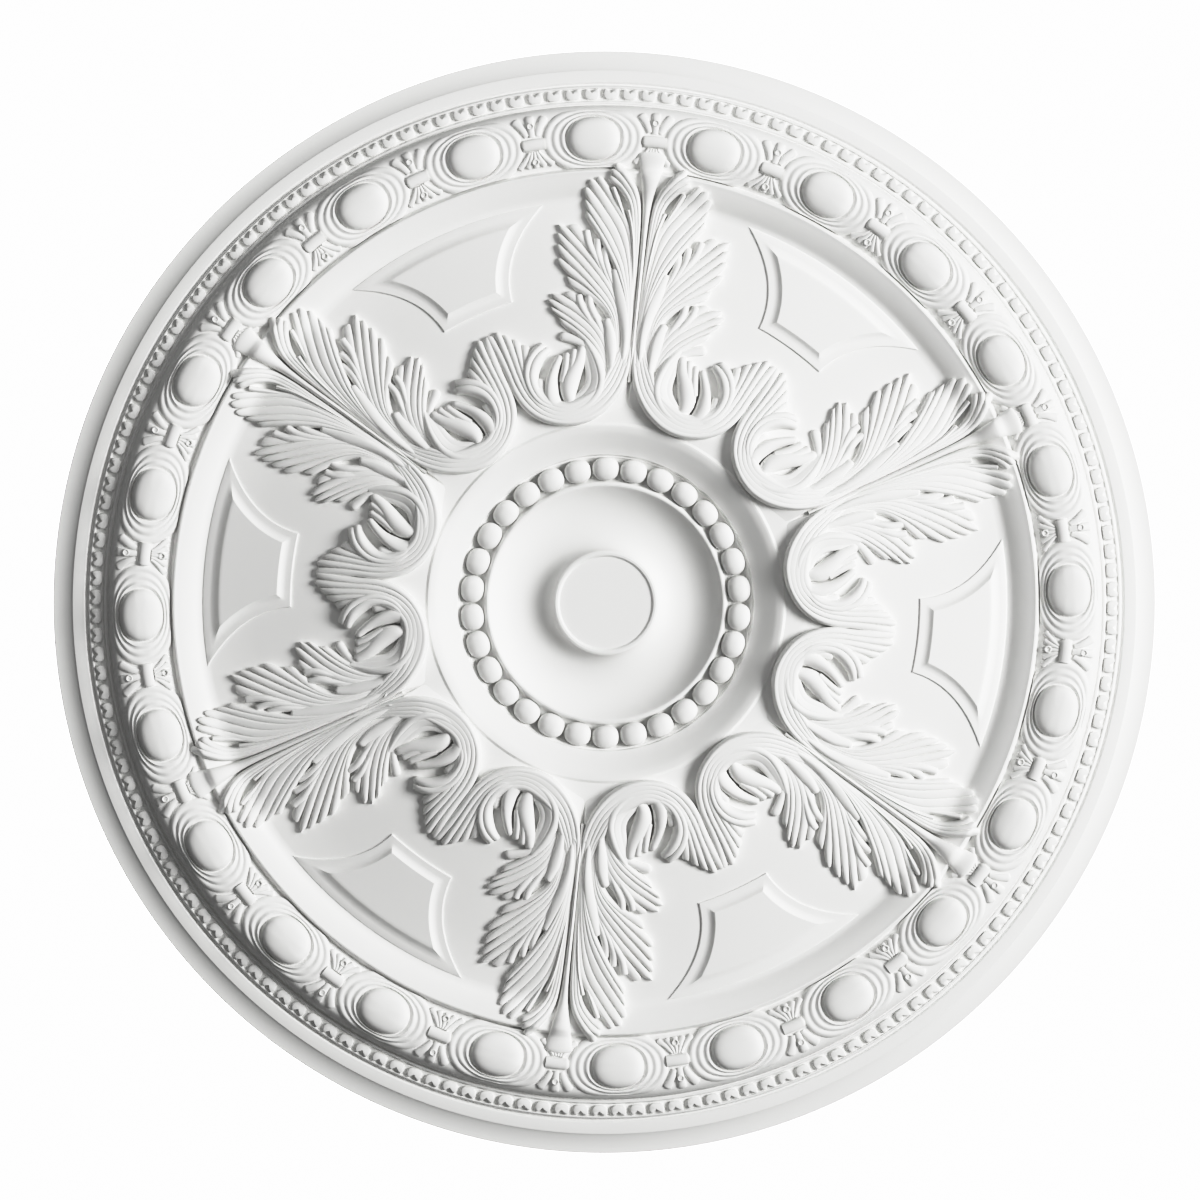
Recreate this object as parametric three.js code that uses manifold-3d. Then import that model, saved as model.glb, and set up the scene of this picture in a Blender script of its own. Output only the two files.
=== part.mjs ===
// Round ceiling rose, cast in one piece: a moulded disc with a hollowed centre, a ring of
// beads, six acanthus leaves that roll into paired volutes, six raised panels and a band of
// oval medallions. Millimetres. It is shaped face up and turned over at the end, so that its
// flat back lies on the ceiling plane at z = 0 and the carving hangs down.
import * as THREE from 'three';
import Module from 'manifold-3d';
import { mergeVertices } from 'three/addons/utils/BufferGeometryUtils.js';

const wasm = await Module();
wasm.setup();

// Driving dimensions
const RIM_RADIUS = 475;
const SIDES = 48;
const LEAF_COUNT = 6;
const LEAF_TURN = THREE.MathUtils.degToRad(24);
const LEAF_STEP = (2 * Math.PI) / LEAF_COUNT;

// Depth to which every raised ornament is sunk into the disc, so that all of it is one casting
const EMBED = 10;

const BEAD = { count: 30, ring: 116, radius: 10.6, level: 28.5, sides: 6, rows: 3 };
const MEDALLION = {
  count: 24, ring: 398, level: 25, squareness: 2.5, sides: 8,
  frame: [23, 39, 3], dome: [15.5, 22, 8.5], domeTop: 0.68,
};
const TIE = { length: 22, width: 7, rise: 3 };
const RAMP = { valley: [[169, 0], [217, 0]], side: [[152, 34], [185, 19]], foot: -0.5, top: 6 };

// Radius and height of the moulding's edges, from the thin rim inwards
const MOULDING = [
  [RIM_RADIUS, 2.5], [456, 6.5], [447, 7], [421.5, 24], [374, 23.5], [342, 12], [172, 41],
  [151, 43], [126, 31], [108, 26], [69, 12], [43.5, 27.5], [39.5, 25.5],
];

// A leaf lies along x with its stem towards the centre of the rose. These are the pointed
// lobes of one half of it, from the stem to the tip. In each group the teeth end on the
// curve tip, and the flutes run from the stem to them past the points on bend.
const STEM = [[221, 20], [214, 0]];
const LOBES = [
  { teeth: 2, bend: [[232, 30], [252, 24]], tip: [[230, 68], [248, 88], [258, 76]], notch: 0.9 },
  { teeth: 2, bend: [[266, 20], [294, 18]], tip: [[290, 80], [316, 94], [321, 74]], notch: 0.9 },
  { teeth: 2, bend: [[304, 8], [330, 12]], tip: [[334, 56], [352, 66], [360, 48]], notch: 0.9 },
  { teeth: 1, bend: [[330, 5], [330, 5]], tip: [[374, 27], [374, 27], [374, 27]], notch: 0.93 },
];
const LEAF = { tip: 383, ribBend: 323, lobeNotch: 0.8, rise: [9, 11, 5], stations: 3 };
const VALLEY = 0.55;

// The stem rolls back into a volute: its flutes follow arcs round the eye, then fan out
const VOLUTE = {
  centre: [182, 53], arc: [-105, -145, 175, 135, 100], stations: 6, rise: [5, 12, 12, 7],
  flutes: [
    { start: [220, 2], radius: 36, end: [219, 124] },
    { start: [223, 9], radius: 29, end: [212, 96] },
    { start: [225, 16], radius: 20, end: [211, 58] },
  ],
  edge: 3.5, edgeEnd: 0.97, notch: 0.95,
};

const PANEL = {
  innerRadius: 268, innerTurn: 6, outerRadius: 343, outerTurn: 15, waist: [309, 10.2],
  rise: 2, inset: 11, plateau: 4.5, segments: 2,
};

const PLASTER = new THREE.MeshStandardMaterial({ color: 0xf2f2f0, roughness: 0.6, metalness: 0 });

function solid(geometry) {
  const bare = geometry.clone();
  bare.deleteAttribute('normal');
  bare.deleteAttribute('uv');
  const merged = mergeVertices(bare, 1e-4);
  return new wasm.Manifold(new wasm.Mesh({
    numProp: 3,
    vertProperties: new Float32Array(merged.attributes.position.array),
    triVerts: new Uint32Array(merged.index.array),
  }));
}

function geometryOf(manifold) {
  const { vertProperties, triVerts } = manifold.getMesh();
  const geometry = new THREE.BufferGeometry();
  geometry.setAttribute('position', new THREE.BufferAttribute(vertProperties, 3));
  geometry.setIndex(new THREE.BufferAttribute(triVerts, 1));
  geometry.computeVertexNormals();
  return geometry;
}

// Joins a list of solids two by two, which keeps each join small
function joined(solids) {
  let pieces = solids;
  while (pieces.length > 1) {
    const next = [];
    for (let i = 1; i < pieces.length; i += 2) next.push(pieces[i - 1].add(pieces[i]));
    if (pieces.length % 2 === 1) next.push(pieces.at(-1));
    pieces = next;
  }
  return pieces[0];
}

// Height of the plain moulding at a radius
function groundAt(radius) {
  for (let i = 1; i < MOULDING.length; i += 1) {
    const [outer, outerHeight] = MOULDING[i - 1];
    const [inner, innerHeight] = MOULDING[i];
    if (radius >= inner && radius <= outer) {
      return THREE.MathUtils.mapLinear(radius, inner, outer, innerHeight, outerHeight);
    }
  }
  return 0;
}

function lathe(pairs, sides) {
  const points = pairs.map(([radius, height]) => new THREE.Vector2(radius, height));
  return new THREE.LatheGeometry(points, sides).rotateX(Math.PI / 2);
}

// The disc as it would be run on a wheel: the outer mouldings and the hollowed centre
function turnedBody() {
  const [, centreHeight] = MOULDING.at(-1);
  return lathe([[0, 0], [RIM_RADIUS, 0], ...MOULDING, [0, centreHeight]], SIDES);
}

function vector([x, y]) {
  return new THREE.Vector2(x, y);
}

function lerpPairs(pairs, share) {
  return vector(pairs[0]).lerp(vector(pairs[1]), share);
}

// Value at a share of the way along a short list of evenly spaced values
function along(values, share) {
  const place = share * (values.length - 1);
  const index = Math.min(Math.floor(place), values.length - 2);
  return THREE.MathUtils.lerp(values[index], values[index + 1], place - index);
}

// A relief that stands on the moulding. It is a box whose columns follow the given lines,
// ordered from right to left of their direction. Each line gives its path and its height.
function relief(lines, stations) {
  const geometry = new THREE.BoxGeometry(1, 1, 1, lines.length - 1, stations, 1);
  const position = geometry.attributes.position;
  for (let i = 0; i < position.count; i += 1) {
    const { path, rise } = lines[Math.round((0.5 - position.getX(i)) * (lines.length - 1))];
    const share = position.getY(i) + 0.5;
    const point = path.getPoint(share);
    const top = position.getZ(i) > 0 ? rise(share) : -EMBED;
    position.setXYZ(i, point.x, point.y, groundAt(point.length()) + top);
  }
  return geometry;
}

// Crests of one half leaf, each with the share of its length at which the notch beside it
// ends. The notch is deeper between two lobes than between the teeth of one.
function crests() {
  const total = LOBES.reduce((sum, lobe) => sum + lobe.teeth, 0);
  const list = [];
  LOBES.forEach(({ teeth, bend, tip, notch }, index) => {
    const edge = new THREE.QuadraticBezierCurve(...tip.map(vector));
    for (let i = 0; i < teeth; i += 1) {
      const share = teeth > 1 ? i / (teeth - 1) : 0;
      const root = lerpPairs(STEM, list.length / total);
      const between = i === teeth - 1 && index < LOBES.length - 1;
      const points = [root, lerpPairs(bend, share), edge.getPoint(share)];
      list.push({ points, notch: between ? LEAF.lobeNotch : notch });
    }
  });
  return list;
}

function mirrored(points, side) {
  return points.map((point) => new THREE.Vector2(point.x, point.y * side));
}

// Crests and the valleys between them, from one edge of a half leaf to the midrib
function halfLeaf(side) {
  const list = crests();
  const midrib = [STEM[1], [LEAF.ribBend, 0], [LEAF.tip, 0]].map(vector);
  const crestRise = (share) => along(LEAF.rise, share);
  const valleyRise = (share) => along(LEAF.rise, share) * VALLEY;
  const lines = [];
  list.forEach(({ points, notch }, index) => {
    const next = index + 1 < list.length ? list[index + 1].points : midrib;
    const crest = new THREE.QuadraticBezierCurve(...mirrored(points, side));
    lines.push({ path: crest, rise: crestRise });
    const middle = points.map((point, k) => point.clone().lerp(next[k], 0.5));
    const valley = new THREE.QuadraticBezierCurve(...mirrored(middle, side));
    const shortened = { getPoint: (share) => valley.getPoint(share * notch) };
    lines.push({ path: shortened, rise: valleyRise });
  });
  return { lines, rib: { path: new THREE.QuadraticBezierCurve(...midrib), rise: crestRise } };
}

function leaf() {
  const upper = halfLeaf(1);
  const lower = halfLeaf(-1);
  return relief([...lower.lines, lower.rib, ...upper.lines.reverse()], LEAF.stations);
}

// Path from the stem, round the inner side of the eye, out to a tooth of the fan beyond it
function voluteLine({ start, radius, end }, widen, shorten, side) {
  const eye = vector(VOLUTE.centre);
  const arc = VOLUTE.arc.map((degrees) => {
    const turn = THREE.MathUtils.degToRad(degrees);
    return new THREE.Vector2(radius + widen, 0).rotateAround(new THREE.Vector2(), turn).add(eye);
  });
  const spline = new THREE.SplineCurve(mirrored([vector(start), ...arc, vector(end)], side));
  return { getPoint: (share) => spline.getPoint(share * shorten) };
}

function volute(side) {
  const { flutes, edge, edgeEnd, notch, rise, stations } = VOLUTE;
  const crest = (share) => along(rise, share);
  const valley = (share) => along(rise, share) * VALLEY;
  const lines = [];
  flutes.forEach((flute, index) => {
    lines.push({ path: voluteLine(flute, 0, 1, side), rise: crest });
    const next = flutes[index + 1];
    if (!next) return;
    const middle = {
      start: lerpPairs([flute.start, next.start], 0.5).toArray(),
      radius: (flute.radius + next.radius) / 2,
      end: lerpPairs([flute.end, next.end], 0.5).toArray(),
    };
    lines.push({ path: voluteLine(middle, 0, notch, side), rise: valley });
  });
  lines.unshift({ path: voluteLine(flutes[0], edge, edgeEnd, side), rise: valley });
  lines.push({ path: voluteLine(flutes.at(-1), -edge, edgeEnd, side), rise: valley });
  if (side > 0) lines.reverse();
  return relief(lines, stations);
}

function foliage() {
  return [leaf(), volute(1), volute(-1), ramp()];
}

// Ramp that climbs from the flat ring to the stem and its two volutes, with a valley on the axis
function ramp() {
  const climb = (share) => THREE.MathUtils.lerp(RAMP.foot, RAMP.top, share);
  const line = (ends) => ({ path: new THREE.LineCurve(...ends), rise: climb });
  const side = RAMP.side.map(vector);
  return relief([line(mirrored(side, -1)), line(RAMP.valley.map(vector)), line(side)], 1);
}

// Closed outline of a panel at an inset, symmetric about x, with sides that bow inwards
function panelOutline(inset) {
  const { innerRadius, innerTurn, outerRadius, outerTurn, waist } = PANEL;
  const at = (radius, degrees, side) => {
    const turn = THREE.MathUtils.degToRad(degrees);
    return new THREE.Vector2(radius * Math.cos(turn), side * (radius * Math.sin(turn) - inset));
  };
  const outline = new THREE.Shape();
  const nearLow = at(innerRadius, innerTurn, -1).add(new THREE.Vector2(inset, 0));
  const farLow = at(outerRadius, outerTurn, -1);
  const waistLow = at(...waist, -1);
  outline.moveTo(nearLow.x, nearLow.y);
  outline.quadraticCurveTo(waistLow.x, waistLow.y, farLow.x, farLow.y);
  const reach = 2 * Math.PI - farLow.angle();
  outline.absarc(0, 0, farLow.length(), -reach, reach);
  outline.quadraticCurveTo(waistLow.x, -waistLow.y, nearLow.x, -nearLow.y);
  return outline;
}

function panelStep(inset, rise) {
  const shape = panelOutline(inset);
  const options = { depth: 1, bevelEnabled: false, curveSegments: PANEL.segments };
  const geometry = new THREE.ExtrudeGeometry(shape, options);
  const position = geometry.attributes.position;
  for (let i = 0; i < position.count; i += 1) {
    const ground = groundAt(Math.hypot(position.getX(i), position.getY(i)));
    position.setZ(i, ground + (position.getZ(i) > 0 ? rise : -EMBED));
  }
  return geometry;
}

function panel() {
  return [panelStep(0, PANEL.rise), panelStep(PANEL.inset, PANEL.plateau)];
}

// An oval boss with nearly straight long sides; profile gives share of radius and height
function oval(radialHalf, tangentialHalf, profile) {
  const geometry = lathe(profile, MEDALLION.sides);
  const position = geometry.attributes.position;
  const power = 2 / MEDALLION.squareness;
  for (let i = 0; i < position.count; i += 1) {
    const radius = Math.hypot(position.getX(i), position.getY(i));
    const cosine = radius > 0 ? position.getX(i) / radius : 0;
    const sine = radius > 0 ? position.getY(i) / radius : 0;
    const x = Math.sign(cosine) * Math.abs(cosine) ** power * radius * radialHalf;
    const y = Math.sign(sine) * Math.abs(sine) ** power * radius * tangentialHalf;
    position.setXY(i, x, y);
  }
  return geometry;
}

function medallion() {
  const [frameRadial, frameTangential, frameRise] = MEDALLION.frame;
  const [domeRadial, domeTangential, domeRise] = MEDALLION.dome;
  const plate = [[0, -EMBED], [1, -EMBED], [1, frameRise], [0, frameRise]];
  const wall = [[0, -EMBED], [1, -EMBED], [1, frameRise]];
  const cap = [...wall, [MEDALLION.domeTop, domeRise], [0, domeRise]];
  const shapes = [oval(frameRadial, frameTangential, plate), oval(domeRadial, domeTangential, cap)];
  return shapes.map((shape) => shape.translate(MEDALLION.ring, 0, MEDALLION.level));
}

function tie() {
  const bar = new THREE.BoxGeometry(TIE.width, TIE.length, TIE.rise + EMBED);
  return bar.translate(MEDALLION.ring, 0, MEDALLION.level + (TIE.rise - EMBED) / 2);
}

function bead() {
  const ball = new THREE.SphereGeometry(BEAD.radius, BEAD.sides, BEAD.rows).rotateX(Math.PI / 2);
  return ball.translate(BEAD.ring, 0, BEAD.level);
}

function turned(geometries, angle) {
  return geometries.map((geometry) => solid(geometry.clone().rotateZ(angle)));
}

function ceilingRose() {
  const pieces = turned([turnedBody()], LEAF_TURN);
  for (let k = 0; k < LEAF_COUNT; k += 1) {
    const turn = LEAF_TURN + k * LEAF_STEP;
    pieces.push(...turned(foliage(), turn), ...turned(panel(), turn + LEAF_STEP / 2));
  }
  const medallionStep = (2 * Math.PI) / MEDALLION.count;
  for (let k = 0; k < MEDALLION.count; k += 1) {
    const turn = LEAF_TURN + k * medallionStep;
    pieces.push(...turned([tie()], turn), ...turned(medallion(), turn + medallionStep / 2));
  }
  const beadStep = (2 * Math.PI) / BEAD.count;
  for (let k = 0; k < BEAD.count; k += 1) {
    pieces.push(...turned([bead()], LEAF_TURN + (k + 0.5) * beadStep));
  }
  return joined(pieces);
}

// Turned over, so that the carving faces the floor
const rose = new THREE.Mesh(geometryOf(ceilingRose()), PLASTER);
rose.name = 'ceiling_rose';
rose.rotation.x = Math.PI;

const group = new THREE.Group();
group.add(rose);

export default group;
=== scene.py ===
import math

import bmesh
import bpy
from mathutils import Matrix, Vector


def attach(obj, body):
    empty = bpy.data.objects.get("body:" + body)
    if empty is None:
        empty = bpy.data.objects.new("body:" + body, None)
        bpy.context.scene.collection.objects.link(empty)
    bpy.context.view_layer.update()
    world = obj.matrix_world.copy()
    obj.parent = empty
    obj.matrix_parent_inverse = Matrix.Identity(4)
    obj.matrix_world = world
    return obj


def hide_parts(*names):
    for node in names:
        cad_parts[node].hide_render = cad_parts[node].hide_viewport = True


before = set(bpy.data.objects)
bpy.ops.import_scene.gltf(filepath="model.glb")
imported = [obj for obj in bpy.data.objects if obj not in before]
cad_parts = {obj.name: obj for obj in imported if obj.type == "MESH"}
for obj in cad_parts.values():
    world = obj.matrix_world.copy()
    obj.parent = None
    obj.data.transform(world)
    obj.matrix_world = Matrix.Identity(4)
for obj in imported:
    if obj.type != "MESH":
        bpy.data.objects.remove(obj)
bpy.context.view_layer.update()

# The rose hangs face down from a ceiling. It is looked at from below with a long lens, from
# almost straight under its middle.
view_width = 1.031
view_distance = 6.0
look_at = Vector((-0.0047, -0.0024, -0.02))
lean = Vector((-0.018, -0.01, -1.0)).normalized()
film = 36.0

camera_data = bpy.data.cameras.new("long_lens")
camera_data.sensor_width = film
camera_data.lens = film * view_distance / view_width
camera_data.clip_end = 50.0
camera = bpy.data.objects.new("camera", camera_data)
bpy.context.scene.collection.objects.link(camera)
across = Vector((0.0, -1.0, 0.0)).cross(lean).normalized()
upward = lean.cross(across)
camera.matrix_world = Matrix.Translation(look_at + lean * view_distance) @ Matrix(
    (across, upward, lean)).transposed().to_4x4()
bpy.context.scene.camera = camera

# A pale room: a wide soft window low on one side, a little light from all round, and a plain
# pale floor far below. The ceiling itself is left open, so the rose is seen against white.
window_turn = math.radians(-8.0)
window_height = math.radians(39.0)
window_distance = 6.5
window_size = 2.7
window_power = 335.0
room_light = 0.12
room_white = 3.0
floor_level = -6.6
floor_width = 11.0
floor_shade = 0.8
floor_roughness = 0.9

# A second, weak lamp stands nearer, at the upper edge of the picture
lamp_turn = math.radians(-95.0)
lamp_height = math.radians(42.0)
lamp_distance = 1.7
lamp_size = 1.0
lamp_power = 2.2

# A broad lamp straight above lights only the back of the rose, for when it is seen from there
overhead_height = math.radians(-90.0)
overhead_distance = 2.8
overhead_size = 3.0
overhead_power = 42.0

for name, turn, height, distance, size, power in (
        ("window", window_turn, window_height, window_distance, window_size, window_power),
        ("lamp", lamp_turn, lamp_height, lamp_distance, lamp_size, lamp_power),
        ("overhead", 0.0, overhead_height, overhead_distance, overhead_size, overhead_power)):
    light_data = bpy.data.lights.new(name, "AREA")
    light_data.shape = "DISK"
    light_data.size = size
    light_data.energy = power
    light = bpy.data.objects.new(name, light_data)
    bpy.context.scene.collection.objects.link(light)
    towards = Vector((math.cos(turn) * math.cos(height), math.sin(turn) * math.cos(height),
                      -math.sin(height)))
    light.location = towards * distance
    light.rotation_mode = "QUATERNION"
    light.rotation_quaternion = towards.to_track_quat("Z", "Y")
    light.visible_camera = False

room = bpy.data.worlds.new("pale_room")
room.use_nodes = True
room_nodes = room.node_tree.nodes
room_links = room.node_tree.links
room_nodes.clear()
room_out = room_nodes.new("ShaderNodeOutputWorld")
room_seen = room_nodes.new("ShaderNodeBackground")
room_lit = room_nodes.new("ShaderNodeBackground")
room_seen.inputs["Color"].default_value = (1.0, 1.0, 1.0, 1.0)
room_seen.inputs["Strength"].default_value = room_white
room_lit.inputs["Color"].default_value = (1.0, 1.0, 1.0, 1.0)
room_lit.inputs["Strength"].default_value = room_light
room_mix = room_nodes.new("ShaderNodeMixShader")
room_path = room_nodes.new("ShaderNodeLightPath")
room_links.new(room_path.outputs["Is Camera Ray"], room_mix.inputs["Fac"])
room_links.new(room_lit.outputs["Background"], room_mix.inputs[1])
room_links.new(room_seen.outputs["Background"], room_mix.inputs[2])
room_links.new(room_mix.outputs["Shader"], room_out.inputs["Surface"])
bpy.context.scene.world = room

# Bright plaster is printed soft at the top and deep in the shadows, as a studio print is
print_range = 2.0
# Light on the plaster, and its tone in the print
print_tones = ((0.05, 0.02), (0.1, 0.056), (0.2, 0.16), (0.32, 0.34), (0.48, 0.6), (0.65, 0.8),
               (0.82, 0.9), (1.0, 0.955), (1.35, 0.99))
view = bpy.context.scene.view_settings
view.view_transform = "Standard"
view.use_curve_mapping = True
view.curve_mapping.white_level = (print_range, print_range, print_range)
for tone_in, tone_out in print_tones:
    view.curve_mapping.curves[3].points.new(tone_in / print_range, tone_out)
view.curve_mapping.update()

bpy.ops.object.select_all(action="DESELECT")
bpy.ops.mesh.primitive_plane_add(size=floor_width, location=(0.0, 0.0, floor_level))
floor = bpy.context.object
floor.name = "pale_floor"
floor_paint = bpy.data.materials.new("floor_paint")
floor_paint.use_nodes = True
floor_shader = floor_paint.node_tree.nodes["Principled BSDF"]
floor_shader.inputs["Base Color"].default_value = (floor_shade, floor_shade, floor_shade, 1.0)
floor_shader.inputs["Roughness"].default_value = floor_roughness
floor.data.materials.append(floor_paint)

# The plain moulding is run in wet gypsum plaster with a metal template that turns about the
# middle, so it is one profile swept round. It is painted flat white with all the rest.
MM = 0.001
sweep_steps = 240
profile_merge = 0.00001


def bow(start, control, end, steps):
    """Points of a smooth curve between two edges of the profile, without its first point."""
    made = []
    for i in range(1, steps + 1):
        t = i / steps
        made.append(tuple((1 - t) ** 2 * a + 2 * t * (1 - t) * b + t * t * c
                          for a, b, c in zip(start, control, end)))
    return made


# Radius and height above the ceiling, in millimetres, from the rim inwards
profile = [(475, 0), (475, 1.4), (474.5, 1.9)]
profile += bow((474.5, 1.9), (465.5, 2.3), (458.5, 6.7), 10)
profile += [(458.0, 7.2), (457.3, 7.4), (448.2, 7.2), (447.2, 6.6), (446.6, 5.6), (445.4, 5.4),
            (444.8, 6.6), (444.4, 8.6), (443.6, 9.5), (442.8, 9.5), (442.1, 8.2), (437.6, 8.6),
            (433.2, 9.2), (432.2, 8.8), (431.6, 10.4), (430.6, 11.6), (429.4, 11.6), (428.6, 10.6),
            (428.0, 10.4)]
profile += bow((428.0, 10.4), (426.6, 20.6), (420.6, 23.2), 8)
profile += bow((420.6, 23.2), (402, 27.4), (386, 22.6), 10)
profile += bow((386, 22.6), (379, 20.4), (374.4, 16.8), 5)
profile += [(373.8, 16.9), (373.0, 19.6), (372.0, 21.0), (371.6, 22.8), (371.0, 23.6), (369.8, 23.8),
            (368.6, 23.2)]
profile += bow((368.6, 23.2), (358.6, 19.8), (351.5, 14.4), 8)
profile += bow((351.5, 14.4), (348.2, 11.8), (342.5, 12.0), 5)
profile += [(300, 19.2), (260, 26.0), (220, 32.8), (180, 39.6)]
profile += bow((180, 39.6), (172, 41.0), (164, 41.2), 4)
profile += [(154.6, 41.4), (153.4, 42.2), (152.4, 43.0), (151.0, 43.0), (149.8, 42.6)]
profile += bow((149.8, 42.6), (146.6, 41.8), (143.6, 39.8), 4)
profile += [(136, 35.0), (128.4, 30.2), (127.4, 29.8), (126.4, 27.0), (125.2, 26.4)]
profile += bow((125.2, 26.4), (122.5, 20.0), (115, 20.2), 6)
profile += bow((115, 20.2), (107, 20.4), (104.6, 24.6), 6)
profile += [(104.0, 27.4), (103.0, 28.6), (101.8, 29.1), (100.6, 28.9), (99.6, 28.0)]
profile += bow((99.6, 28.0), (89, 13.6), (71, 12.2), 16)
profile += bow((71, 12.2), (52, 11.4), (46.2, 23.0), 12)
profile += [(45.6, 24.8), (44.6, 26.8), (43.0, 27.6), (41.2, 27.4), (40.2, 26.4), (39.4, 25.5),
            (30, 25.5), (15, 25.5), (0, 25.5)]


def ground(radius):
    """Height of the plain moulding under a piece, without its small lips and grooves."""
    bed = [(475, 1.9), (458, 7), (447, 8.4), (431, 9.2), (428, 11), (425.6, 18), (420.6, 23),
           (412, 24.8), (403, 25.2), (394, 24.4), (386, 22.6), (374, 19), (369, 23.2), (360, 19.4),
           (351.5, 14.4), (347, 12.4), (341, 12.2), (180, 39.6), (164, 41.2), (151, 42.6), (126, 29),
           (0, 12)]
    for (r0, h0), (r1, h1) in zip(bed, bed[1:]):
        if r1 <= radius <= r0:
            return h0 + (h1 - h0) * (r0 - radius) / (r0 - r1)
    return bed[0][1]


def edit_only(piece):
    """Opens one piece for editing, with all of it selected."""
    bpy.ops.object.select_all(action="DESELECT")
    piece.select_set(True)
    bpy.context.view_layer.objects.active = piece
    bpy.ops.object.mode_set(mode="EDIT")
    bpy.ops.mesh.select_all(action="SELECT")


def close_edit(merge=0.00002):
    """Merges doubles, turns all faces outwards and closes the piece."""
    bpy.ops.mesh.select_all(action="SELECT")
    bpy.ops.mesh.remove_doubles(threshold=merge)
    bpy.ops.mesh.normals_make_consistent(inside=False)
    bpy.ops.object.mode_set(mode="OBJECT")


def white_plaster():
    """Cast gypsum under thin flat white paint: slight clouding, fine grain, soft sheen."""
    if "white_plaster" in bpy.data.materials:
        return bpy.data.materials["white_plaster"]
    paint = bpy.data.materials.new("white_plaster")
    paint.use_nodes = True
    nodes, links = paint.node_tree.nodes, paint.node_tree.links
    shader = nodes["Principled BSDF"]
    shader.inputs["Specular IOR Level"].default_value = 0.3
    place = nodes.new("ShaderNodeTexCoord")
    cloud = nodes.new("ShaderNodeTexNoise")
    cloud.inputs["Scale"].default_value = 14.0
    cloud.inputs["Detail"].default_value = 5.0
    tone = nodes.new("ShaderNodeValToRGB")
    tone.color_ramp.elements[0].position = 0.3
    tone.color_ramp.elements[0].color = (0.845, 0.845, 0.84, 1.0)
    tone.color_ramp.elements[1].position = 0.7
    tone.color_ramp.elements[1].color = (0.885, 0.885, 0.882, 1.0)
    sheen = nodes.new("ShaderNodeMapRange")
    sheen.inputs["To Min"].default_value = 0.5
    sheen.inputs["To Max"].default_value = 0.68
    grain = nodes.new("ShaderNodeTexNoise")
    grain.inputs["Scale"].default_value = 650.0
    grain.inputs["Detail"].default_value = 3.0
    sag = nodes.new("ShaderNodeTexNoise")
    sag.inputs["Scale"].default_value = 90.0
    sag.inputs["Detail"].default_value = 2.0
    fine = nodes.new("ShaderNodeBump")
    fine.inputs["Strength"].default_value = 0.25
    fine.inputs["Distance"].default_value = 0.00012
    soft = nodes.new("ShaderNodeBump")
    soft.inputs["Strength"].default_value = 0.3
    soft.inputs["Distance"].default_value = 0.0006
    for noise in (cloud, grain, sag):
        links.new(place.outputs["Object"], noise.inputs["Vector"])
    links.new(cloud.outputs["Fac"], tone.inputs["Fac"])
    links.new(tone.outputs["Color"], shader.inputs["Base Color"])
    links.new(cloud.outputs["Fac"], sheen.inputs["Value"])
    links.new(sheen.outputs["Result"], shader.inputs["Roughness"])
    links.new(sag.outputs["Fac"], soft.inputs["Height"])
    links.new(grain.outputs["Fac"], fine.inputs["Height"])
    links.new(soft.outputs["Normal"], fine.inputs["Normal"])
    links.new(fine.outputs["Normal"], shader.inputs["Normal"])
    return paint


def hang(piece, name, crease=35.0):
    """Turns a finished piece face down, and makes it part of the painted casting."""
    piece.name = name
    piece.data.name = name
    piece.data.transform(Matrix.Rotation(math.pi, 4, "X"))
    bpy.ops.object.select_all(action="DESELECT")
    piece.select_set(True)
    bpy.context.view_layer.objects.active = piece
    bpy.ops.object.shade_smooth_by_angle(angle=math.radians(crease))
    piece.data.materials.clear()
    piece.data.materials.append(white_plaster())
    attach(piece, "root")
    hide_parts("ceiling_rose")


def set_round(piece, turns):
    """Repeats a piece round the middle of the rose, as one mesh."""
    made = bmesh.new()
    for turn in turns:
        copy = piece.data.copy()
        copy.transform(Matrix.Rotation(turn, 4, "Z"))
        made.from_mesh(copy)
        bpy.data.meshes.remove(copy)
    made.to_mesh(piece.data)
    made.free()


bpy.ops.object.select_all(action="DESELECT")
bpy.ops.mesh.primitive_plane_add(size=MM)
disc = bpy.context.object
edit_only(disc)
bpy.ops.mesh.merge(type="CENTER")
bpy.ops.transform.translate(value=(profile[0][0] * MM, 0.0, profile[0][1] * MM))
for (r0, h0), (r1, h1) in zip(profile[:1] + profile, profile):
    if (r0, h0) != (r1, h1):
        step = ((r1 - r0) * MM, 0.0, (h1 - h0) * MM)
        bpy.ops.mesh.extrude_vertices_move(TRANSFORM_OT_translate={"value": step})
bpy.ops.mesh.select_all(action="SELECT")
bpy.ops.mesh.spin(steps=sweep_steps, angle=math.tau, center=(0, 0, 0), axis=(0, 0, 1))
bpy.ops.mesh.select_all(action="SELECT")
bpy.ops.mesh.remove_doubles(threshold=profile_merge)
bpy.ops.mesh.select_all(action="DESELECT")
bpy.ops.mesh.select_non_manifold()
bpy.ops.mesh.edge_face_add()
close_edit(profile_merge)
hang(disc, "run_moulding", crease=28.0)

# Thirty beads lie in a groove round the hollowed middle, slightly longer than wide and almost
# touching. They are cast with the groove.
leaf_turn = math.radians(24.0)
bead_count = 30
bead_ring = 115.0
bead_half = (10.0, 11.6, 9.6)
bead_level = 26.0
bead_roundness = 0.88
bead_facets = (24, 14)

bpy.ops.object.select_all(action="DESELECT")
bpy.ops.mesh.primitive_uv_sphere_add(segments=bead_facets[0], ring_count=bead_facets[1], radius=MM)
beads = bpy.context.object
for corner in beads.data.vertices:
    unit = corner.co / MM
    full = [math.copysign(abs(value) ** bead_roundness, value) * half
            for value, half in zip(unit, bead_half)]
    corner.co = Vector((full[0] + bead_ring, full[1], full[2] + bead_level)) * MM
set_round(beads, [leaf_turn + (k + 0.5) * math.tau / bead_count for k in range(bead_count)])
hang(beads, "middle_beads", crease=60.0)

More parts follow.
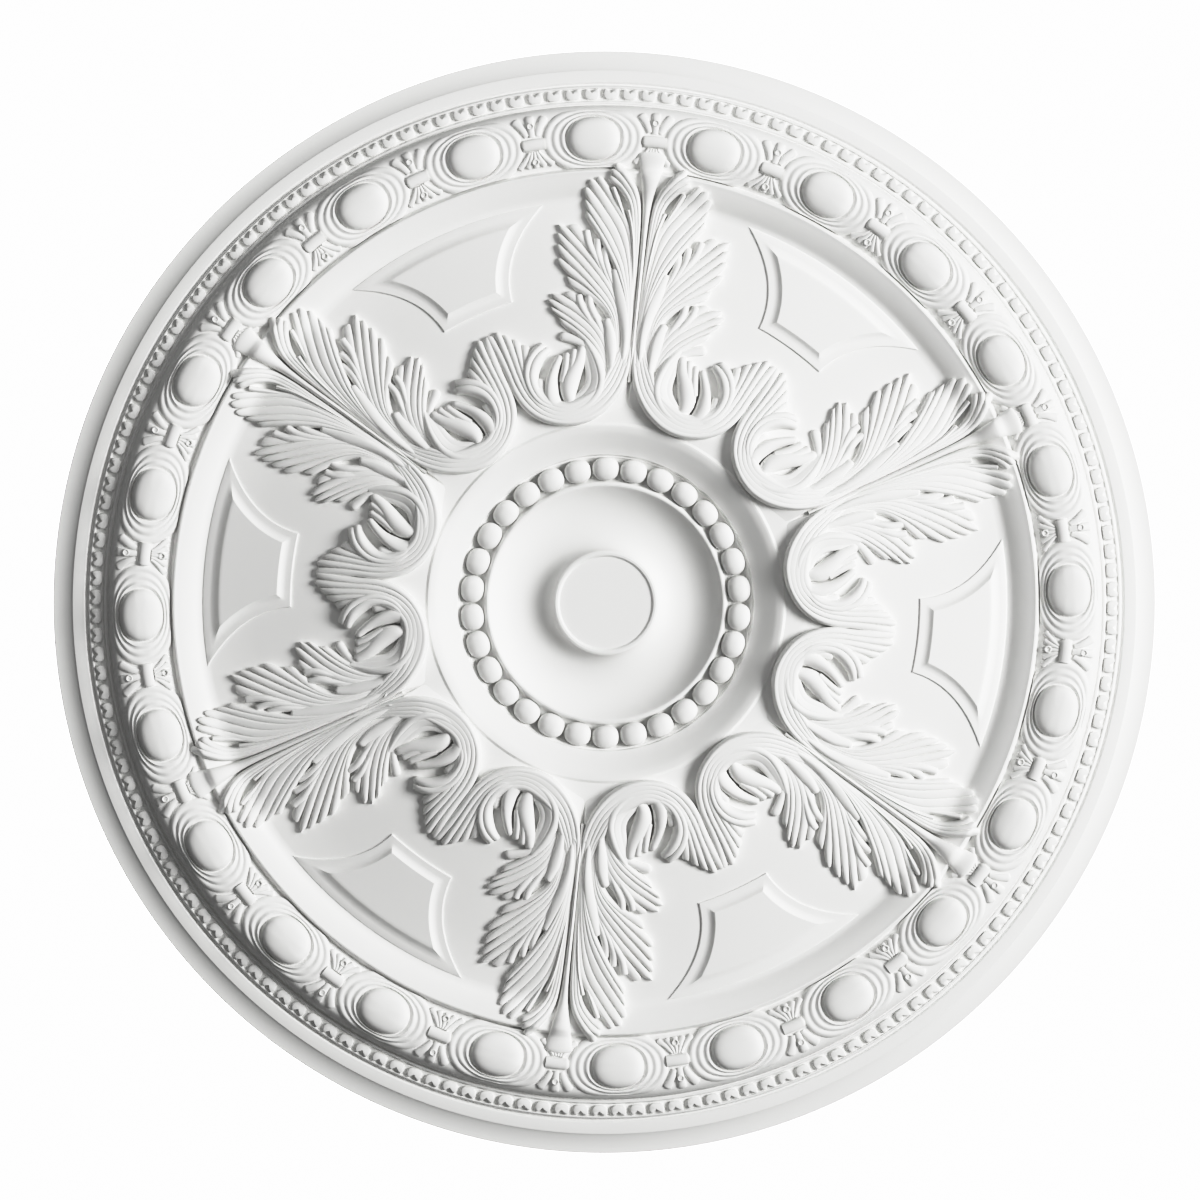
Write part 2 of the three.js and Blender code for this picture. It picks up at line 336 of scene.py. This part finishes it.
# Six raised panels fill the field between the leaves, with hollowed sides. Each has a small step,
# a flat band, a hollow bevel that climbs to the edge of the top, and mitred corners.
panel_inner = 270.0
panel_outer = 346.0
# One side of a panel, as the ends and the pull of a curve on the panel's own axis
panel_side = ((268.1, 31.9), (311.0, 39.0), (333.9, 90.0))
# Distance in from the outline and height over the field
panel_edge = ((0, -6), (0, 1.0), (0.3, 1.5), (0.9, 1.8), (5.0, 1.8), (6.0, 1.9), (7.6, 2.3), (9.2, 3.1),
              (10.6, 4.2), (11.6, 5.2), (12.2, 5.5))
panel_rows = 18
panel_columns = 22
panel_count = 6
side_steps = 40
# The bevel is a little wider along the outer edge
outer_bevel = 1.15
# The field falls straight to its own edge, and on under the panels
field_edge = 341.0
field_fall = 0.17


def panel_corner_line(inset):
    """One side of the panel moved inwards, cut where it meets the inner and the outer edge."""
    start, pull, end = (Vector(p) for p in panel_side)
    line = []
    for i in range(-side_steps // 4, side_steps * 5 // 4 + 1):
        t = i / side_steps
        spot = start * (1 - t) ** 2 + pull * 2 * t * (1 - t) + end * t * t
        ahead = ((pull - start) * (1 - t) + (end - pull) * t).normalized()
        line.append(spot + Vector((ahead.y, -ahead.x)) * inset)
    low, high = panel_inner + inset, panel_outer - inset * outer_bevel
    cut_line = []
    for one, two in zip(line, line[1:]):
        for edge in (low, high):
            if (one.length - edge) * (two.length - edge) < 0:
                cut_line.append(one.lerp(two, (edge - one.length) / (two.length - one.length)))
        if low < two.length < high:
            cut_line.append(two)
    runs = [0.0]
    for one, two in zip(cut_line, cut_line[1:]):
        runs.append(runs[-1] + (two - one).length)
    even = []
    for i in range(panel_rows + 1):
        goal = runs[-1] * i / panel_rows
        k = max(j for j in range(len(runs) - 1) if runs[j] <= goal + 1e-9)
        even.append(cut_line[k].lerp(cut_line[k + 1], (goal - runs[k]) / (runs[k + 1] - runs[k])))
    return even


def panel_row(spot, height):
    """Points of one arc of the panel from a point of its side to the other side."""
    turn = math.atan2(spot.y, spot.x)
    level = ground(min(spot.length, field_edge)) - max(spot.length - field_edge, 0.0) * field_fall
    row = []
    for j in range(panel_columns + 1):
        here = turn * (1 - 2 * j / panel_columns)
        row.append(Vector((spot.length * math.cos(here), spot.length * math.sin(here), level + height)) * MM)
    return row


def stack(made, loops):
    """Joins closed loops of points, each to the next."""
    for low, high in zip(loops, loops[1:]):
        for i in range(len(low)):
            j = (i + 1) % len(low)
            made.faces.new((low[i], low[j], high[j], high[i]))


def cast(made, name):
    """Makes one piece of a finished mesh, with doubles merged and all faces outwards."""
    mesh = bpy.data.meshes.new(name)
    made.to_mesh(mesh)
    made.free()
    piece = bpy.data.objects.new(name, mesh)
    bpy.context.scene.collection.objects.link(piece)
    edit_only(piece)
    close_edit()
    return piece


panel_made = bmesh.new()
panel_loops = []
for inset, height in panel_edge:
    rows = [panel_row(spot, height) for spot in panel_corner_line(inset)]
    loop = (rows[0] + [row[-1] for row in rows[1:-1]] + rows[-1][::-1]
            + [row[0] for row in rows[-2:0:-1]])
    panel_loops.append([panel_made.verts.new(p) for p in loop])
stack(panel_made, panel_loops)
panel_made.faces.new(panel_loops[0])
top_rows = [[panel_made.verts.new(p) for p in row] for row in rows]
for one, two in zip(top_rows, top_rows[1:]):
    for j in range(panel_columns):
        panel_made.faces.new((one[j], one[j + 1], two[j + 1], two[j]))
panels = cast(panel_made, "field_panels")
set_round(panels, [leaf_turn + (k + 0.5) * math.tau / panel_count for k in range(panel_count)])
hang(panels, "field_panels", crease=24.0)

# Twenty-four oval medallions stand on the outer band: a smooth dome in three soft moulded rings,
# whose frame runs out against both edges of the band. Each is cast in the same mould.
medallion_count = 24
medallion_ring = 398.5
band_half = 24.6
medallion_corners = 64
medallion_roundness = 0.92
# Half width across the band, half length along it, height over the band
medallion_rings = [
    (30.0, 43.6, -3.0), (29.4, 43.2, 0.2), (28.2, 42.2, 1.6), (26.8, 40.6, 2.4), (25.6, 39.2, 2.5),
    (24.6, 37.8, 1.9), (23.9, 36.6, 1.5), (23.2, 35.2, 2.2), (22.5, 33.6, 3.2), (21.9, 32.0, 3.0),
    (21.3, 30.6, 2.1), (20.9, 29.4, 2.0), (20.5, 28.0, 3.0), (20.1, 26.6, 3.9), (19.7, 25.2, 3.5),
    (19.3, 24.0, 2.0), (19.0, 23.0, 1.3), (18.7, 22.3, 2.0), (18.3, 21.8, 4.0), (17.4, 20.8, 6.0),
    (16.0, 19.1, 7.3), (14.0, 16.7, 8.3), (11.2, 13.3, 8.9), (7.6, 9.0, 9.3), (3.4, 4.0, 9.5)]

bpy.ops.object.select_all(action="DESELECT")
bpy.ops.mesh.primitive_circle_add(vertices=medallion_corners, radius=MM, fill_type="NGON")
medallions = bpy.context.object
first = medallion_rings[0]
for corner in medallions.data.vertices:
    unit = corner.co / MM
    across_band, along_band = (math.copysign(abs(v) ** medallion_roundness, v) for v in unit.xy)
    corner.co = Vector((across_band * first[0], along_band * first[1], first[2])) * MM
edit_only(medallions)
for (w0, l0, h0), (w1, l1, h1) in zip(medallion_rings, medallion_rings[1:]):
    bpy.ops.mesh.extrude_region_move(TRANSFORM_OT_translate={"value": (0, 0, (h1 - h0) * MM)})
    bpy.ops.transform.resize(value=(w1 / w0, l1 / l0, 1.0), center_override=(0, 0, 0))
bpy.ops.mesh.poke()
close_edit()


def lay_on_band(piece, ring):
    """Bends a piece that was made flat, round the middle of the rose, and sets it on the moulding."""
    for corner in piece.data.vertices:
        radius = corner.co.x + ring * MM
        turn = corner.co.y / (ring * MM)
        corner.co = Vector((radius * math.cos(turn), radius * math.sin(turn),
                            corner.co.z + ground(radius / MM) * MM))


for corner in medallions.data.vertices:
    corner.co.x = max(-band_half * MM, min(band_half * MM, corner.co.x))
lay_on_band(medallions, medallion_ring)
set_round(medallions, [leaf_turn + (k + 0.5) * math.tau / medallion_count
                       for k in range(medallion_count)])
hang(medallions, "oval_medallions", crease=50.0)

# Between two medallions a short roll ties their frames. A leaf of three lobes with a drilled eye
# stands on its outer side, and a small fan of five ribs with an eye on its inner side.
bed_depth = 6.0
path_step = 4.0
length_steps = 40
nudge = 0.01
# Steps round a bar and along its rounded end, and how that end closes
bar_steps = 8
end_steps = 5
end_longest = 0.45
end_reach = 1.2
end_least = 0.06
end_height = 0.5
# Share of a bar's height that its edges have, and how full its back is
bar_foot = 0.25
bar_fullness = 0.9
# Middle line from end to end, half widths along it, heights along it
tie_bars = [
    # Roll
    ([(397.2, -10), (397.6, 0), (397.2, 10)], (5, 5, 5), (4.4, 4.8, 4.4)),
    # Three lobes outside it
    ([(404, 0), (412, 0), (423, 0)], (2.6, 3.2, 4.0), (2.0, 3.2, 2.6)),
    ([(405, 4.5), (412, 7.5), (420.5, 13.5)], (2.2, 3.0, 3.8), (2.0, 2.8, 2.4)),
    ([(405, -4.5), (412, -7.5), (420.5, -13.5)], (2.2, 3.0, 3.8), (2.0, 2.8, 2.4))]
# Five ribs inside it
tie_bars += [([(391.5, end * 0.25), (385, end * 0.55), (377.5 + abs(end) * 0.06, end)],
              (1.2, 1.9, 2.6), (2.2, 2.8, 2.0)) for end in (-15.0, -7.5, 0.0, 7.5, 15.0)]
eye_places = (413.5, 382.5)
eye_corners = 14
# Radius and height of the rim of a drilled eye
eye_rings = [(3.3, -3.0), (3.2, 3.2), (2.7, 3.9), (2.1, 3.9), (1.7, 3.0), (1.5, 0.2)]


def spline(points, share):
    """Point at a share of the way along a smooth line through the given points."""
    count = len(points) - 1
    place = min(max(share, 0.0) * count, count - 1e-6)
    k = int(place)
    t = place - k
    before = points[max(k - 1, 0)]
    a, b = points[k], points[k + 1]
    after = points[min(k + 2, count)]
    return tuple(0.5 * ((2 * q) + (r - p) * t + (2 * p - 5 * q + 4 * r - s) * t * t
                        + (3 * q - p - 3 * r + s) * t ** 3)
                 for p, q, r, s in zip(before, a, b, after))


def between(values, share):
    """Smooth value at a share of the way along evenly spaced ones."""
    return spline([(v,) for v in values], share)[0]


def sideways(points, share):
    """Unit direction to the left of a path."""
    ahead = (Vector(spline(points, min(share + nudge, 1.0)))
             - Vector(spline(points, max(share - nudge, 0.0))))
    return Vector((-ahead.y, ahead.x)).normalized()


def run_of(points):
    """Length of a path."""
    rough = [Vector(spline(points, i / length_steps)) for i in range(length_steps + 1)]
    return sum((b - a).length for a, b in zip(rough, rough[1:]))


def skin(made, rows):
    """Closes a sheet of points over the ground: its top, its walls and its hidden bed."""
    top = [[made.verts.new(p * MM) for p in row] for row in rows]
    for one, two in zip(top, top[1:]):
        for j in range(len(one) - 1):
            made.faces.new((one[j], one[j + 1], two[j + 1], two[j]))
    loop = (top[0] + [row[-1] for row in top[1:]] + list(reversed(top[-1][:-1]))
            + [row[0] for row in reversed(top[1:-1])])
    bed = []
    for corner in loop:
        level = ground(corner.co.xy.length / MM) - bed_depth
        bed.append(made.verts.new((corner.co.x, corner.co.y, level * MM)))
    for i in range(len(loop)):
        j = (i + 1) % len(loop)
        made.faces.new((loop[i], bed[i], bed[j], loop[j]))
    made.faces.new(bed)


def pipe(made, points, inner, outer, rise, blunt=1.0):
    """Adds one round pipe with a rounded end."""
    run = run_of(points)
    tip_run = blunt * (between(inner, 1.0) + between(outer, 1.0)) / 2
    last = 1.0 - min(end_longest, end_reach * tip_run / run)
    count = max(end_steps, int(run * last / path_step))
    shares = [last * i / count for i in range(count)]
    shares += [last + (1 - last) * math.sin(math.pi / 2 * i / end_steps) for i in range(end_steps + 1)]
    rows = []
    for share in shares:
        here, side = Vector(spline(points, share)), sideways(points, share)
        left = (1.0 - share) * run
        close = 1.0 if left >= tip_run else math.sqrt(max(0.0, 1 - (1 - left / tip_run) ** 2))
        close = max(close, end_least)
        high = between(rise, share) * (end_height + (1 - end_height) * close)
        row = []
        for j in range(bar_steps + 1):
            turn = math.pi * j / bar_steps
            wide = between(inner if j < bar_steps / 2 else outer, share)
            spot = here - side * math.cos(turn) * wide * close
            lift = high * (bar_foot + (1 - bar_foot) * math.sin(turn) ** bar_fullness)
            row.append(Vector((spot.x, spot.y, ground(spot.length) + lift)))
        rows.append(row)
    skin(made, rows)


tie_made = bmesh.new()
for points, half, rise in tie_bars:
    pipe(tie_made, points, half, half, rise, blunt=0.6)
eye_turns = [math.tau * j / eye_corners for j in range(eye_corners)]
for place in eye_places:
    loops = [[tie_made.verts.new(Vector((place + radius * math.cos(turn), radius * math.sin(turn),
                                         ground(place) + height)) * MM) for turn in eye_turns]
             for radius, height in eye_rings]
    stack(tie_made, loops)
    tie_made.faces.new(loops[0])
    tie_made.faces.new(loops[-1])
ties = cast(tie_made, "medallion_ties")
set_round(ties, [leaf_turn + k * math.tau / medallion_count for k in range(medallion_count)])
hang(ties, "medallion_ties", crease=40.0)

# A row of 168 small square pearls runs round outside the medallions, each with a three-cornered
# notch cut in its outer side. They are cast in their groove, almost touching.
pearl_count = 168
pearl_ring = 437.3
# Outline of one pearl: across the row from the middle outwards, and along it
pearl_outline = ((4.4, -5.6), (4.5, -3.4), (1.0, 0.0), (4.5, 3.4), (4.4, 5.6), (1.0, 6.8), (-2.6, 6.2),
                 (-4.4, 3.6), (-4.4, -3.6), (-2.6, -6.2), (1.0, -6.8))
pearl_middle = -0.8
# Share of the outline, and height over the groove
pearl_rings = ((1.0, -2.5), (1.0, 2.0), (0.93, 2.9), (0.8, 3.3))

pearl_made = bmesh.new()
loops = [[pearl_made.verts.new(Vector((pearl_middle + (x - pearl_middle) * share, y * share, height)) * MM)
          for x, y in pearl_outline] for share, height in pearl_rings]
stack(pearl_made, loops)
pearl_made.faces.new(loops[0])
pearl_made.faces.new(loops[-1])
pearls = cast(pearl_made, "pearl_row")
lay_on_band(pearls, pearl_ring)
set_round(pearls, [leaf_turn + (k + 0.5) * math.tau / pearl_count for k in range(pearl_count)])
hang(pearls, "pearl_row", crease=50.0)

# Six acanthus leaves grow from the edge of the hollow to the rim of the field. They are modelled
# in clay with gouged flutes, toothed leaflets and drilled eyes, and cast in plaster with the rest.
# One half leaf is modelled, mirrored and repeated, all in millimetres on the axis of the leaf.
leaf_count = 6
# Where across a flute its points lie, how deep each is in the groove, and how far back each
# stands behind the tip of the tooth
flute_cut = ((0.42, 0.09, 0.08), (0.7, 0.3, 0.28), (0.88, 0.68, 0.56), (1.0, 1.0, 1.0))
hem_cut = ((0.3, 0.06, 0.05), (0.6, 0.3, 0.22), (0.85, 0.66, 0.52), (1.0, 1.0, 1.0))
tip_rows = (0.93, 0.965, 0.985, 1.0)
tip_roll = 0.35
# Gap between two crests from which a flute has its full depth
full_flute = 4.0


def leaflet(made, crests, height, groove, notch, hems, feet=((0.35, 0.35), (0.35, 0.35)), levels=None):
    """Adds a fluted blade. Each crest runs from the stem to the tip of its tooth. Height, depth of
    the flutes, width of the hems and height of their feet are given along the blade."""
    levels = levels or [1.0] * len(crests)
    apart = Vector(spline(crests[1], 0.5)) - Vector(spline(crests[0], 0.5))
    if sideways(crests[0], 0.5).dot(apart) < 0:
        crests, hems, feet, levels = crests[::-1], hems[::-1], feet[::-1], levels[::-1]
    length = max(run_of(crest) for crest in crests)
    count = max(6, int(length / path_step))
    shares = [i / count * tip_rows[0] for i in range(count)] + list(tip_rows)
    back = notch / length
    rows = []
    for share in shares:
        high = between(height, share)
        roll = 1.0 - tip_roll * max(0.0, (share - tip_rows[0]) / (1.0 - tip_rows[0])) ** 2
        row = []

        def put(spot, rise):
            row.append(Vector((spot.x, spot.y, ground(spot.length) + rise)))

        for side, crest, level in ((1, crests[0], levels[0]), (-1, crests[-1], levels[-1])):
            edge = []
            wide = between(hems[0 if side > 0 else 1], share)
            foot = between(feet[0 if side > 0 else 1], share)
            for across, fall, behind in hem_cut:
                place = share * (1.0 - back * behind)
                spot = Vector(spline(crest, place)) - side * sideways(crest, place) * wide * across
                edge.append((spot, high * level * roll * (1.0 - (1.0 - foot) * fall)))
            if side > 0:
                first_hem = edge
            else:
                last_hem = edge
        for spot, rise in reversed(first_hem):
            put(spot, rise)
        for k, crest in enumerate(crests):
            put(Vector(spline(crest, share)), high * levels[k] * roll)
            if k + 1 == len(crests):
                break
            deep = between(groove, share)
            far_half = [(2.0 - across, fall, behind) for across, fall, behind in reversed(flute_cut[:-1])]
            for across, fall, behind in list(flute_cut) + far_half:
                place = share * (1.0 - back * behind)
                near_spot, far_spot = (Vector(spline(c, place)) for c in crests[k:k + 2])
                level = levels[k] + (levels[k + 1] - levels[k]) * across / 2
                gap = min(1.0, (far_spot - near_spot).length / full_flute)
                put(near_spot.lerp(far_spot, across / 2), high * level * roll - deep * gap * fall)
        for spot, rise in last_hem:
            put(spot, rise)
        rows.append(row)
    skin(made, rows)


def both_halves(work, lines, *values):
    """Makes a piece of the half leaf and its mirror image."""
    work(leaf_made, lines, *values)
    if work is leaflet:
        work(leaf_made, [[(u, -v) for u, v in crest] for crest in lines], *values)
    else:
        work(leaf_made, [(u, -v) for u, v in lines], values[1], values[0], *values[2:])


leaf_made = bmesh.new()
# Midrib, narrow along the stem and spread like a spoon over the lip of the field
pipe(leaf_made, [(190, 0), (240, 0), (290, 0), (335, 0), (362, 0), (389, 0)],
     (1.6, 1.8, 2.4, 3.4, 7.0, 13.5), (1.6, 1.8, 2.4, 3.4, 7.0, 13.5), (6.5, 9, 9.5, 9.5, 8, 4.2), 0.8)
# Teeth beside the tip
both_halves(leaflet, [
    [(240, 2.5), (290, 4), (332, 6), (352, 11), (367, 22), (375, 31)],
    [(240, 3), (288, 5.2), (328, 8), (348, 13), (362, 24), (370, 34)],
    [(240, 3.5), (286, 6.4), (322, 10), (342, 14), (355, 23), (363, 35)]],
    (5, 8.5, 9.2, 9, 6.5), (0.2, 0.4, 0.6, 1.0, 1.4), 9, ((1.5, 2, 3, 4), (2, 2, 2.5)))
# Fourth leaflet
both_halves(leaflet, [
    [(200, 2.0), (250, 4), (295, 8.5), (322, 14), (342, 27), (363, 44)],
    [(200, 2.8), (250, 5), (292, 10.5), (318, 18.5), (338, 32), (360, 51)],
    [(200, 3.6), (250, 6), (288, 13), (312, 23.5), (332, 38), (351, 55)],
    [(200, 4.3), (250, 7), (284, 15.5), (306, 27), (324, 40), (340, 53)],
    [(200, 5), (250, 8), (280, 17), (300, 28), (317, 39.5), (331, 51)]],
    (5, 8.5, 9, 8.5, 7.5, 5.5), (0.2, 0.4, 0.7, 0.9, 1.1, 1.6), 10, ((2, 2.5, 3), (2, 3, 3)),
    ((0.3, 0.3), (0.3, 0.3)), [0.9, 0.96, 0.98, 1.06, 1.08])
# Third leaflet
both_halves(leaflet, [
    [(202, 9.5), (236, 11), (266, 19), (294, 39), (320, 62)],
    [(201, 10.3), (232, 12), (260, 19.5), (288, 40), (319, 74)],
    [(200, 11), (229, 13), (256, 20.5), (281, 42), (310, 74)],
    [(199, 11.7), (226, 14), (251, 21.5), (274, 43), (300, 73)],
    [(198, 12.4), (224, 15), (246, 21.5), (266, 41), (287, 71)],
    [(197, 13.2), (222, 16), (242, 20), (257, 33), (270, 60)]],
    (5, 6.5, 7.5, 7.5, 5.5), (0.2, 0.4, 0.7, 1.0, 1.7), 13, ((2, 6, 5), (2, 2.5, 4, 3)),
    ((0.3, 0.3), (0.3, 0.3)), [0.85, 0.97, 0.98, 1.02, 1.0, 0.95])
# Second leaflet, with the blunt first tooth under it
both_halves(leaflet, [
    [(190, 17), (218, 21), (236, 29), (250, 42), (262, 60)],
    [(189, 17.8), (214, 22), (232, 32), (246, 48), (259, 73)],
    [(188, 18.6), (210, 23), (227, 34), (240, 51), (253, 76)],
    [(187, 19.3), (206, 23.5), (221, 34), (234, 51), (246, 73)],
    [(186, 20), (203, 24), (216, 33.5), (228, 48), (237, 64)]],
    (5, 6.5, 7.5, 7, 5.5), (0.2, 0.4, 0.7, 1.0, 1.7), 11, ((2, 4, 3), (2, 3, 3.5)),
    ((0.3, 0.3), (0.3, 0.3)), [0.92, 1.0, 0.97, 1.02, 0.95])
both_halves(pipe, [(188, 22), (202, 25.5), (213, 34), (220, 46), (224, 63)],
            (2.5, 3, 4.5), (2.5, 3, 4.2), (5, 6.5, 5))
# Lobes that close the drilled eyes
for lobe in ([(262, 19), (282, 30), (298, 38), (311, 39)], [(266, 19), (280, 26), (293, 31), (304, 31.5)],
             [(270, 26), (290, 37), (304, 46), (317, 50)]):
    both_halves(pipe, lobe, (2, 3.6, 3.4), (2, 3.6, 3.4), (6, 8.5, 6.5))
for lobe in ([(222, 22.5), (240, 32.8), (252, 40), (261.5, 41.5)],
             [(226, 28), (241, 40), (252, 48), (261, 51)]):
    both_halves(pipe, lobe, (2, 3.6, 3.4), (2, 3.6, 3.4), (6, 8.5, 6.5))
both_halves(pipe, [(328, 17), (342, 24), (350, 28), (356, 31)], (1.6, 2.4, 2.2), (1.6, 2.4, 2.2), (7, 9, 7))
# Pipes that run down from the eyes to the foot
both_halves(pipe, [(190, 8.5), (210, 7), (232, 7), (254, 10.5), (270, 16), (286, 22.5)],
            (2.5, 3, 4, 3), (2.5, 4.5, 9, 4.5), (6, 9.8, 9.8, 9))
both_halves(pipe, [(178, 20), (198, 16.5), (215, 17), (230, 19.5), (243, 25)],
            (2.5, 3, 4, 3), (2.5, 5, 8.5, 4.5), (9, 9.8, 9.6, 9))
both_halves(pipe, [(262, 4), (300, 7.5), (322, 11), (338, 16)],
            (1.5, 1.8, 2), (1.5, 2, 2.2), (7, 9.8, 10, 9))
# Broad body of the volute. Its crest stands above the ramp, and it parts into five teeth at the
# gap between two leaves.
both_halves(leaflet, [
    [(236, 1.4), (212, 1.8), (195, 4.0), (180, 9.5), (166, 19), (156, 31), (151, 43), (149.5, 56),
     (151.5, 70), (158, 83), (170, 94.5), (187, 104), (204, 114.5), (216.5, 124)],
    [(236, 3), (210, 5.4), (193, 9.4), (178.5, 16), (166.5, 26), (158, 38), (154, 50), (153.5, 62),
     (158, 75), (168, 87), (182, 96.5), (198, 105), (212, 112.5), (221, 117)],
    [(235, 4.4), (210, 8.2), (195, 12.2), (182, 18), (170.5, 27.8), (162, 39), (157.5, 50), (157, 61),
     (162, 73.5), (172, 84.5), (185, 92.5), (199, 99), (211, 104.5), (219, 109)],
    [(233, 5.6), (210, 10.4), (197, 15), (186, 20.4), (174.5, 29.5), (166, 40), (161, 50), (160.5, 60),
     (165, 72), (175, 82.5), (187, 89.5), (199, 94.5), (209, 98), (216, 100)],
    [(229, 7), (210, 12.4), (199, 17.5), (188, 22), (177, 30.5), (169, 41), (164.5, 50), (164, 59),
     (168, 70), (177, 80), (188, 86.5), (198, 89.5), (206, 90.5), (212, 90.5)]],
    (5, 9, 11.5, 12.2, 12.4, 12.2, 11.8, 11, 9, 6), (0.3, 1.0, 0.9, 0.3, 0.2, 0.3, 0.8, 1.2, 1.3, 1.7), 9,
    ((1.8, 2.5, 3, 3, 3, 3.5), (2, 3, 4, 4, 3)), ((0.3, 0.3, 0.3, 0.3, 0.5, 0.75, 0.75), (0.6, 0.6)))
# Second scroll, which curls inwards under the body
both_halves(leaflet, [
    [(160, 50), (160.5, 63), (165, 75), (174, 83.5), (186, 88.5), (198, 88), (208, 83), (214.5, 76)],
    [(163, 49), (163.5, 61), (168, 72), (176.5, 79.5), (187, 83), (198, 81.5), (206, 77), (212, 71)]],
    (9, 12, 12.8, 12.8, 12.4, 11, 7), (0.2, 0.4, 0.9, 1.2, 1.2), 3, ((2, 3, 3.5, 3.5, 3), (2, 3, 5, 6, 4)),
    ((0.3, 0.3), (0.35, 0.35)))
# Ring round the deep cavity, which steps down to a scalloped inner edge
both_halves(leaflet, [
    [(222, 41), (208, 31), (192, 24.8), (179, 26), (168, 33), (162, 43), (160.5, 54)],
    [(219.5, 42), (206, 34), (191.5, 29), (181, 30.5), (172.5, 37), (167.5, 45), (165, 54)],
    [(217.5, 43), (203, 39.5), (190.5, 36.5), (183, 37.5), (176, 42), (171, 47), (168, 54)]],
    (7, 11, 12.8, 12.8, 12.4, 11), (0.2, 0.5, 0.6, 0.5, 0.2), 3, ((3, 4.5, 5.5, 5, 4), (1.2, 1.2, 1.2)),
    ((0.7, 0.7), (0.1, 0.1)), [1.0, 0.84, 0.6])
# Tongue that rises from the cavity and runs to its own toothed end
both_halves(pipe, [(166, 41), (168.5, 47), (175, 50.5), (184, 51), (194, 48.5), (205, 44.5), (217, 43)],
            (3, 6, 8.5, 7, 3.6), (3, 6, 8, 6, 4), (8, 11, 11.5, 10.5, 8))
both_halves(pipe, [(186, 52), (200, 50), (214, 49.5)], (4, 3.6, 3), (3, 3.6, 3.4), (9.5, 9.5, 7.5))
both_halves(pipe, [(184, 57), (197, 55.5), (210, 55.5)], (4, 3.6, 3), (3, 3.6, 3.2), (9.5, 9.5, 7.5))
# Strand below the tongue, with the long drilled eye on its outer side
both_halves(pipe, [(160, 50), (162.5, 60), (170, 66.5), (181, 68), (193, 66), (207, 61)],
            (4, 8, 9, 6, 3.5), (3, 5, 4, 3.2, 3), (11.5, 12.4, 12, 8.5))
both_halves(pipe, [(160, 58), (165, 68), (173, 74), (185, 77)], (5, 5, 4), (3, 4, 4), (10.5, 10, 9))
leaf_data = bpy.data.meshes.new("leaf")
leaf_made.to_mesh(leaf_data)
leaf_made.free()
for k in range(leaf_count):
    leaf = bpy.data.objects.new("leaf", leaf_data.copy())
    bpy.context.scene.collection.objects.link(leaf)
    edit_only(leaf)
    close_edit()
    leaf.data.transform(Matrix.Rotation(leaf_turn + k * math.tau / leaf_count, 4, "Z"))
    hang(leaf, f"acanthus_leaf_{k + 1}", crease=50.0)

# At the foot of each leaf two small ramps climb from the flat ring to the stem and its volutes,
# and meet in a valley under the stem. They are cast with the field.
# Each corner of a ramp: along the leaf, across it, and height above the ground
ramp_corners = {"foot": (167, 0, -0.6), "stem": (214, 0, -0.6), "ring": (151, 35, -0.6),
                "roll": (186, 20, 9.0), "top": (206, 4, 9.0)}
ramp_made = bmesh.new()
for side in (1, -1):
    top, bed = [], []
    for name in ("foot", "stem", "top", "roll", "ring"):
        u, v, rise = ramp_corners[name]
        level = ground(math.hypot(u, v))
        top.append(ramp_made.verts.new(Vector((u, v * side, level + rise)) * MM))
        bed.append(ramp_made.verts.new(Vector((u, v * side, level - bed_depth)) * MM))
    for i in range(len(top)):
        j = (i + 1) % len(top)
        ramp_made.faces.new((top[i], bed[i], bed[j], top[j]))
    ramp_made.faces.new(top)
    ramp_made.faces.new(bed)
bmesh.ops.triangulate(ramp_made, faces=ramp_made.faces[:])
ramps = cast(ramp_made, "leaf_foot_ramps")
set_round(ramps, [leaf_turn + k * math.tau / leaf_count for k in range(leaf_count)])
hang(ramps, "leaf_foot_ramps", crease=15.0)
